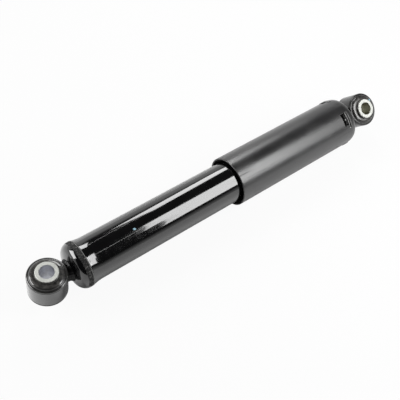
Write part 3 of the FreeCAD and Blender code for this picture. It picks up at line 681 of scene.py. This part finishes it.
def cut_slot(piece, middle, slot_r):
    """Cut one slot in from the rim, and close its end and its two sides."""
    def in_slot(point):
        beyond = math.hypot(point.y, point.z) > slot_r - near
        return beyond and abs(turn_from(point, middle)) < slot_half + near_turn

    def at_slot_end(point):
        return in_slot(point) and math.hypot(point.y, point.z) < slot_r + near

    pick(piece, "FACE", in_slot)
    bpy.ops.mesh.delete(type="FACE")
    bpy.ops.object.mode_set(mode="OBJECT")
    pick(piece, "EDGE", at_slot_end)
    bpy.ops.mesh.bridge_edge_loops()
    bpy.ops.object.mode_set(mode="OBJECT")
    for side in (middle - slot_half, middle + slot_half):
        pick(piece, "EDGE", lambda point: in_slot(point) and abs(turn_from(point, side)) < near_turn)
        bpy.ops.mesh.edge_face_add()
        bpy.ops.object.mode_set(mode="OBJECT")


def finger_spring(name, tips_at, hole_r):
    """A dished washer slit from its rim, with its land high round the hole and its tips low."""
    land_r = hole_r + spring_land
    slot_r = land_r + spring_sheet
    low = spring_height - spring_sheet
    fall = low * (slot_r - land_r) / (spring_outside_r - land_r)
    piece = turned(name, [
        (tips_at + spring_height, hole_r),
        (tips_at + spring_height, land_r),
        (tips_at + spring_height - fall, slot_r),
        (tips_at + spring_sheet, spring_outside_r),
        (tips_at, spring_outside_r),
        (tips_at + low - fall, slot_r),
        (tips_at + low, land_r),
        (tips_at + low, hole_r)], spring_sides)
    for number in range(spring_fingers):
        cut_slot(piece, 2 * math.pi * number / spring_fingers, slot_r)
    pick(piece, "FACE", lambda point: True)
    bpy.ops.mesh.normals_make_consistent(inside=False)
    bpy.ops.object.mode_set(mode="OBJECT")
    return piece


for name, tips_at, hole_r, body, node, joint in (
        ("intake_spring_stamped", intake_tips, intake_hole_r, "cylinder", "intake_spring", "intake_lift"),
        ("check_spring_stamped", check_tips, check_hole_r, "rod", "check_spring", "check_lift")):
    spring = finger_spring(name, tips_at, hole_r)
    fit(spring, oiled_steel, "steel", body, node)
    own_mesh(spring)

# Valve body, piston and rod guide
# Pressed from iron powder and sintered, so they are matt grey and full of tiny pores that hold oil.
# The body sits at the foot of the pressure tube, the piston on the rod and the guide in the tube's top.
iron_grey = (0.20, 0.195, 0.19, 1)
iron_pore = (0.05, 0.05, 0.05, 1)
sintered_iron, tree, shader = new_finish("iron_sintered")
powder = grain(tree, place_on_piece(tree), 1600.0, 3.0, 0.6)
pores = between(tree, powder, 0.36, 0.5, 1.0, 0.0)
colour = blend_colour(tree, pores, iron_grey, iron_pore)
raise_grain(tree, shader, powder, 0.35, 0.1 * mm)
feed(tree, shader, Base_Color=colour, Roughness=between(tree, pores, 0.0, 1.0, 0.45, 0.8), Metallic=0.8)
put_on(sintered_iron, "base_valve_body", "piston", "rod_guide")

# Guide bush
# A thin bush wrapped from bronze strip, with a slippery lining that the rod slides in.
# It is pressed into the bore of the rod guide.
bronze_new = (0.52, 0.33, 0.15, 1)
bronze_dark = (0.34, 0.20, 0.09, 1)
put_on(bare_metal("bronze_lined", bronze_new, bronze_dark, 0.28, 0.45), "guide_bush")

# Piston band
# A split band of filled white plastic, snapped into a groove round the piston.
# It rides on the honed bore, and the filler shows as brown-grey flecks.
band_pale = (0.55, 0.50, 0.42, 1)
band_fleck = (0.30, 0.25, 0.19, 1)
slippery_plastic, tree, shader = new_finish("band_filled_plastic")
flecks = between(tree, grain(tree, place_on_piece(tree), 2200.0, 3.0, 0.7), 0.5, 0.7, 0.0, 1.0)
colour = blend_colour(tree, flecks, band_pale, band_fleck)
raise_grain(tree, shader, flecks, 0.1, 0.05 * mm)
feed(tree, shader, Base_Color=colour, Roughness=between(tree, flecks, 0.0, 1.0, 0.35, 0.55))
put_on(slippery_plastic, "piston_band")

# Rod seal and rebound buffer
# The seal is nitrile rubber moulded in one block with its lips, held under the seal washer.
# The buffer is a plain elastomer ring that sits on the rod above the rebound stop.
put_on(moulded_rubber("black_rubber_inside"), "rod_seal", "rebound_buffer")

# Piston rod
# Hardened steel, hard chromed and ground to a mirror, with the faint round lines of the last grinding.
# The upper eye is welded to its top, and the piston is held on its stepped end by a nut.
chrome_bright = (0.72, 0.73, 0.74, 1)
chrome_shade = (0.60, 0.61, 0.63, 1)
hard_chrome, tree, shader = new_finish("chrome_ground")
grinding = streaks(tree, place_on_piece(tree), (2600.0, 30.0, 30.0))
colour = blend_colour(tree, grinding, chrome_bright, chrome_shade)
raise_grain(tree, shader, grinding, 0.03, 0.02 * mm)
feed(tree, shader, Base_Color=colour, Roughness=between(tree, grinding, 0.3, 0.7, 0.05, 0.12), Metallic=1.0)
put_on(hard_chrome, "piston_rod")

# Cover plate
# A dished steel stamping fixed on the rod. Its four tabs snap into the windows of the dust cover,
# and it has a thin, dull coat of the same black because only the windows leave it open to the road.
plate_black = (0.006, 0.006, 0.006, 1)
plate_rubbed = (0.16, 0.16, 0.15, 1)
painted_glint_colour = (0.75, 0.75, 0.73, 1)
plate_shine = 0.3
painted_glint_at = (421.0 * mm, -16.8 * mm, 24.9 * mm)
painted_glint_size = 0.7 * mm
thin_paint, tree, shader = new_finish("black_paint_plate")
place = place_on_piece(tree)
rubbed = between(tree, grain(tree, place, 520.0, 3.0, 0.6), 0.62, 0.70, 0.0, 1.0)
colour = blend_colour(tree, rubbed, plate_black, plate_rubbed)
# Painted glint: a pale dab on the edge of one tab stands in for a highlight seen through its window.
colour = dab(tree, place, painted_glint_at, painted_glint_size, colour, painted_glint_colour)
uneven = grain(tree, place, 900.0, 2.0)
raise_grain(tree, shader, uneven, 0.2, 0.1 * mm)
feed(tree, shader, Base_Color=colour, Roughness=between(tree, uneven, 0.3, 0.7, 0.55, 0.75),
     Specular_IOR_Level=plate_shine)
put_on(thin_paint, "cover_plate")

# Dust cover
# A blow-moulded black plastic tube that hangs from the cover plate and keeps dirt off the rod. A thick collar
# sits on the plate, four windows take the plate's tabs, and a raised bead stiffens the top of each window.
cover_r = 30.5 * mm
cover_inside_r = 28.6 * mm
cover_from = 244.2 * mm
cover_to = 435.5 * mm
cover_end_r = 28.8 * mm
cover_end_steps = 6
cover_mouth_r = 26.0 * mm
cover_sides = 180
cover_round = 1.0 * mm
cover_round_steps = 4
mouth_round = 0.5 * mm
mouth_round_steps = 3
cover_twist = math.radians(33.0)
collar_from = 422.72 * mm
window_from = 416.52 * mm
window_to = 423.22 * mm
window_half = math.radians(16.0)
window_places = [math.radians(90 * number) for number in range(4)]
bead_to = 427.6 * mm
bead_r = 31.1 * mm
bead_crest = 1.25 * mm
bead_groove_side = 0.55 * mm
bead_groove_r = 29.5 * mm
bead_low = math.radians(-24.0)
bead_high = math.radians(16.0)
bead_edge = 0.25 * mm
bead_edge_steps = 3
wall_from_r = cover_inside_r - 0.3 * mm
skin_from_r = cover_r - 0.1 * mm
bead_top_from_r = bead_r - 0.02 * mm
plastic_black = (0.011, 0.011, 0.0113, 1)
plastic_worn = (0.019, 0.019, 0.019, 1)
crest_rubbed_and_painted_highlight = (0.17, 0.17, 0.165, 1)
end_edge_painted_highlight = (0.32, 0.32, 0.315, 1)
bead_end_painted_highlight = (0.50, 0.50, 0.49, 1)
plastic_shine = 1.0
plastic_ior = 1.57
plastic_sheen = 0.17
plastic_sheen_rough = 0.42
rubbed_rough = 0.16
dust_grey = (0.20, 0.20, 0.19, 1)
bead_highlight_spots = ((424.9 * mm, -10.2 * mm, 29.4 * mm), (424.2 * mm, -25.5 * mm, 17.8 * mm))
bead_highlight_spot_size = 0.8 * mm

groove_from = window_to + bead_crest + bead_groove_side
groove_to = bead_to - bead_crest - bead_groove_side
end_length = cover_to - bead_to
end_drop = cover_r - cover_end_r
end_bow = (end_length ** 2 + end_drop ** 2) / (2 * end_drop)
end_slope = math.asin(end_length / end_bow)
end_middle = (bead_to, cover_r - end_bow)
cover_skin = [
    (cover_from, cover_inside_r),
    (cover_from, cover_r),
    (window_from, cover_r),
    (window_to, cover_r),
    (window_to + bead_crest, cover_r),
    (groove_from, cover_r),
    (groove_to, cover_r),
    (bead_to - bead_crest, cover_r)]
cover_end = bow(end_middle, end_bow, math.pi / 2, math.pi / 2 + end_slope, cover_end_steps)
cover_inside = [
    (cover_to, cover_mouth_r),
    (collar_from, cover_mouth_r),
    (collar_from, cover_inside_r),
    (window_from, cover_inside_r)]
dust_cover = turned("dust_cover_moulded", cover_skin + cover_end + cover_inside, cover_sides)
mouth_corners = [(cover_from, cover_r), (cover_from, cover_inside_r)]
round_over(dust_cover, [(cover_to, cover_end_r)], cover_round, cover_round_steps)
round_over(dust_cover, mouth_corners, mouth_round, mouth_round_steps)


def cut_window(middle):
    """Cut one window through the wall, and close it between the two skins."""
    def in_window(point):
        level = window_from - near < point.x < window_to + near
        wall = math.hypot(point.y, point.z) > wall_from_r
        return level and wall and abs(turn_from(point, middle)) < window_half + near_turn

    def on_window_edge(point):
        across = abs(abs(turn_from(point, middle)) - window_half) < near_turn
        ends = min(abs(point.x - spot) for spot in (window_from, window_to, collar_from)) < near
        return in_window(point) and (across or ends)

    pick(dust_cover, "FACE", in_window)
    bpy.ops.mesh.delete(type="FACE")
    bpy.ops.object.mode_set(mode="OBJECT")
    pick(dust_cover, "EDGE", on_window_edge)
    bpy.ops.mesh.bridge_edge_loops()
    bpy.ops.object.mode_set(mode="OBJECT")


def raise_bead(middle):
    """Raise the bead over one window, round its edges and sink the groove between its two crests."""
    def on_bead(point):
        level = window_to - near < point.x < bead_to + near
        skin = math.hypot(point.y, point.z) > skin_from_r
        return level and skin and bead_low - near_turn < turn_from(point, middle) < bead_high + near_turn

    def on_bead_top(point):
        return on_bead(point) and math.hypot(point.y, point.z) > bead_top_from_r

    def in_groove(point):
        level = groove_from - near < point.x < groove_to + near
        inside = bead_low + near_turn < turn_from(point, middle) < bead_high - near_turn
        return on_bead_top(point) and level and inside

    rise = bead_r / cover_r
    sink = bead_groove_r / bead_r
    pick(dust_cover, "FACE", on_bead)
    bpy.ops.mesh.extrude_region_move()
    bpy.ops.transform.resize(value=(1, rise, rise), center_override=(0, 0, 0))
    bpy.ops.object.mode_set(mode="OBJECT")
    pick(dust_cover, "FACE", on_bead_top)
    bpy.ops.mesh.region_to_loop()
    bpy.ops.mesh.bevel(offset=bead_edge, segments=bead_edge_steps, affect="EDGES")
    bpy.ops.object.mode_set(mode="OBJECT")
    pick(dust_cover, "FACE", in_groove)
    bpy.ops.transform.resize(value=(1, sink, sink), center_override=(0, 0, 0))
    bpy.ops.object.mode_set(mode="OBJECT")


for middle in window_places:
    cut_window(middle)
    raise_bead(middle)
dust_cover.rotation_euler.x = cover_twist
select_only(dust_cover)
bpy.ops.object.transform_apply(location=True, rotation=True, scale=True)

satin_plastic, tree, shader = new_finish("black_plastic_satin")
place = place_on_piece(tree)
along = add(tree, "ShaderNodeSeparateXYZ", Vector=place).outputs["X"]
radius = from_axis(tree, place, (0, 1, 1))
worn = between(tree, grain(tree, place, 32.0, 4.0, 0.6), 0.4, 0.7, 0.0, 1.0)
specks = between(tree, grain(tree, place, 900.0, 2.0), 0.735, 0.77, 0.0, 0.6)
colour = blend_colour(tree, worn, plastic_black, plastic_worn)
colour = blend_colour(tree, specks, colour, dust_grey)
scuffs = between(tree, streaks(tree, place, (18.0, 420.0, 420.0), 4.0), 0.62, 0.8, 0.0, 0.35)
rough = work_out(tree, "ADD", between(tree, worn, 0.0, 1.0, 0.29, 0.36), scuffs)
patchy = grain(tree, place, 300.0, 3.0)
# Painted highlights: a pale patchy line round the end edge and pale bead crests stand in for the lines of
# light these edges catch; the crests are rubbed as well, and both edges are made smoother.
end_corner = between(tree, radius, cover_end_r - 0.8 * mm, cover_end_r - 0.4 * mm, 0.0, 1.0)
end_edge = between(tree, along, cover_to - 1.3 * mm, cover_to - 0.8 * mm, 0.0, end_corner)
crests = between(tree, radius, bead_r - 0.3 * mm, bead_r - 0.1 * mm, 0.0, 1.0)
for edge, pale in ((end_edge, end_edge_painted_highlight), (crests, crest_rubbed_and_painted_highlight)):
    colour = blend_colour(tree, between(tree, patchy, 0.2, 0.5, 0.0, edge), colour, pale)
    rough = between(tree, edge, 0.0, 1.0, rough, rubbed_rough)
# Painted highlights: two pale dots at the ends of one bead stand in for the spots of light there.
for bead_highlight_spot in bead_highlight_spots:
    colour = dab(tree, place, bead_highlight_spot, bead_highlight_spot_size, colour, bead_end_painted_highlight)
raise_grain(tree, shader, grain(tree, place, 2400.0, 2.0), 0.10, 0.1 * mm)
feed(tree, shader, Base_Color=colour, Roughness=rough, Specular_IOR_Level=plastic_shine, IOR=plastic_ior,
     Sheen_Weight=plastic_sheen, Sheen_Roughness=plastic_sheen_rough)
fit(dust_cover, satin_plastic, "black_plastic", "rod", "dust_cover")

# Floor
# A plain white sweep that the shock lies on. It reads as white to the eye and keeps the soft shadow. In
# reflections it glows white in front of the shock and past both eyes, which is painted light, and right under
# the shock it shows a greyer colour, which is painted shadow.
floor_level = cad_box[0].z - 0.1 * mm
floor_middle = 0.25
floor_size = 6.0
floor_white = (0.85, 0.85, 0.85, 1)
floor_painted_shadow = (0.48, 0.48, 0.48, 1)
pure_white = (1, 1, 1, 1)
seen_white = 0.93
front_reflected_glow = 0.69
front_fade = (-0.055, -0.028)
lower_end_way = (1, -0.6, 0)
lower_end_reflected_glow = 0.90
lower_end_fade = (-0.262, -0.215)
upper_end_reflected_glow = 0.72
upper_end_fade = (0.17, 0.21)
under_front_fade = (-0.040, -0.026)
under_back_fade = (0.0, 0.03)
bpy.ops.object.select_all(action="DESELECT")
bpy.ops.mesh.primitive_plane_add(size=floor_size, location=(floor_middle, 0, floor_level))
floor = bpy.context.object
floor.name = "floor"
white_sweep = bpy.data.materials.new("white_sweep")
white_sweep.use_nodes = True
tree = white_sweep.node_tree
tree.nodes.clear()
path = tree.nodes.new("ShaderNodeLightPath")
seen = path.outputs["Is Camera Ray"]
mirrored = path.outputs["Is Glossy Ray"]
place = place_on_piece(tree)
directions = add(tree, "ShaderNodeSeparateXYZ", Vector=place)
along = directions.outputs["X"]
across = directions.outputs["Y"]
past_end = measure(tree, "DOT_PRODUCT", place, lower_end_way)
# Painted light: the share of white glow that reflections see, in front of the shock and past each eye.
front = between(tree, across, *front_fade, front_reflected_glow, 0.0)
beyond_lower_eye = between(tree, past_end, *lower_end_fade, lower_end_reflected_glow, 0.0)
beyond_upper_eye = between(tree, along, *upper_end_fade, 0.0, upper_end_reflected_glow)
clear = work_out(tree, "MAXIMUM", front, beyond_lower_eye)
clear = work_out(tree, "MAXIMUM", clear, beyond_upper_eye)
share = between(tree, seen, 0.0, 1.0, between(tree, mirrored, 0.0, 1.0, 0.0, clear), seen_white)
# Painted shadow: just under the shock, reflections see the floor in a greyer colour.
under = between(tree, across, *under_front_fade, 0.0, mirrored)
under = between(tree, across, *under_back_fade, under, 0.0)
shade = blend_colour(tree, under, floor_white, floor_painted_shadow)
paper = add(tree, "ShaderNodeBsdfDiffuse", Color=shade).outputs["BSDF"]
glow = add(tree, "ShaderNodeEmission", Color=pure_white, Strength=1.0).outputs["Emission"]
mix = tree.nodes.new("ShaderNodeMixShader")
for socket, value in zip(mix.inputs, (share, paper, glow)):
    put(tree, socket, value)
add(tree, "ShaderNodeOutputMaterial", Surface=mix.outputs[0])
floor.data.materials.append(white_sweep)

# Room
# The white sweep climbs behind the shock and carries on a little above the horizon in front of it;
# over it the studio is dark, so the gloss paint stays black.
room_dark = (0.018, 0.018, 0.019, 1)
sweep_white = (0.68, 0.68, 0.68, 1)
sweep_turn = (-0.2, 0.2)
sweep_full_in_front = -0.05
sweep_full_behind = 0.30
sweep_gone_past_eye = 0.25
sweep_gone_behind = 0.50
room = bpy.data.worlds.new("studio")
bpy.context.scene.world = room
room.use_nodes = True
tree = room.node_tree
direction = add(tree, "ShaderNodeSeparateXYZ", Vector=add(tree, "ShaderNodeTexCoord").outputs["Generated"])
behind = between(tree, direction.outputs["Y"], *sweep_turn, 0.0, 1.0)
past_eye = between(tree, direction.outputs["X"], *sweep_turn, 0.0, sweep_gone_past_eye)
sweep_low = between(tree, behind, 0.0, 1.0, sweep_full_in_front, sweep_full_behind)
sweep_high = between(tree, behind, 0.0, 1.0, past_eye, sweep_gone_behind)
sweep = between(tree, direction.outputs["Z"], sweep_low, sweep_high, 1.0, 0.0)
reflected = blend_colour(tree, sweep, room_dark, sweep_white)
seen = tree.nodes.new("ShaderNodeLightPath").outputs["Is Camera Ray"]
feed(tree, tree.nodes["Background"], Color=blend_colour(tree, seen, reflected, pure_white))

# Lamps
# Long soft boxes hang beside the shock. Behind it are a main one, set a little aslant, and a faint far one.
# Over the camera's side are one in two halves, then a middle and a far one, each dimmer. A bright frame edge
# runs on past each row, and another box stands off the lower eye.
lamp_level = 7.0
lamp_distance = 0.8
frame_edge_length = 0.14
frame_edge_width = 0.008
along_shock = (1, 0, 0)
aslant = (1, 0.25, -0.25)
end_lamp_place = (-0.80, 0.60, 0.55)
end_lamp_way = (0.6, 0.8, 0)
end_lamp_length = 0.8
end_lamp_width = 0.65


def soft_box(name, middle, along, length, width, radiance):
    """A rectangular lamp that faces the shock's axis, with its length laid along a direction."""
    lamp = bpy.data.lights.new(name, "AREA")
    lamp.shape = "RECTANGLE"
    lamp.size = length
    lamp.size_y = width
    lamp.energy = radiance * math.pi * length * width
    box = bpy.data.objects.new(name, lamp)
    bpy.context.scene.collection.objects.link(box)
    side = Vector(along).normalized()
    away = (Vector(middle) - side * Vector(middle).dot(side)).normalized()
    box.matrix_world = Matrix((side, away.cross(side), away)).transposed().to_4x4()
    box.location = middle
    box.visible_camera = False


def beside(turn, along):
    """A place at the lamps' distance from the axis, turned up from the far side, this far along it."""
    angle = math.radians(turn)
    return along, lamp_distance * math.cos(angle), lamp_distance * math.sin(angle)


for name, turn, along, way, length, width, level in (
        ("soft_box_behind", 45.0, 0.58, aslant, 0.34, 0.285, 0.93),
        ("soft_box_behind_far", 41.0, 0.93, along_shock, 0.36, 0.32, 0.035),
        ("soft_box_front_upper", 116.65, 0.585, along_shock, 0.31, 0.3503, 1.0),
        ("soft_box_front_lower", 141.35, 0.61, along_shock, 0.26, 0.3503, 1.0),
        ("soft_box_front_middle", 131.0, 0.805, along_shock, 0.13, 0.72, 0.64),
        ("soft_box_front_far", 132.0, 1.01, along_shock, 0.28, 0.71, 0.26),
        ("frame_edge_behind", 53.0, 0.36, along_shock, frame_edge_length, frame_edge_width, 1.0),
        ("frame_edge_front", 113.0, 0.36, along_shock, frame_edge_length, frame_edge_width, 1.0)):
    soft_box(name, beside(turn, along), way, length, width, level * lamp_level)
soft_box("soft_box_end", end_lamp_place, end_lamp_way, end_lamp_length, end_lamp_width, lamp_level)

# Camera
# Looks down over the lower eye along the shock, from the near side.
# It is tilted a little to one side and has a slightly long lens.
camera_right = Vector((0.778384, -0.613102, 0.134997))
camera_up = Vector((0.43357, 0.680515, 0.590691))
camera_back = Vector((-0.454021, -0.401254, 0.795525))
camera_place = (-0.171755, -0.331342, 0.650846)
camera = bpy.data.objects.new("camera", bpy.data.cameras.new("camera"))
bpy.context.scene.collection.objects.link(camera)
camera.matrix_world = Matrix((camera_right, camera_up, camera_back)).transposed().to_4x4()
camera.location = camera_place
camera.data.sensor_width = 36.0
camera.data.lens = 63.6
camera.data.clip_start = 0.01
bpy.context.scene.camera = camera
bpy.context.scene.view_settings.view_transform = "Standard"
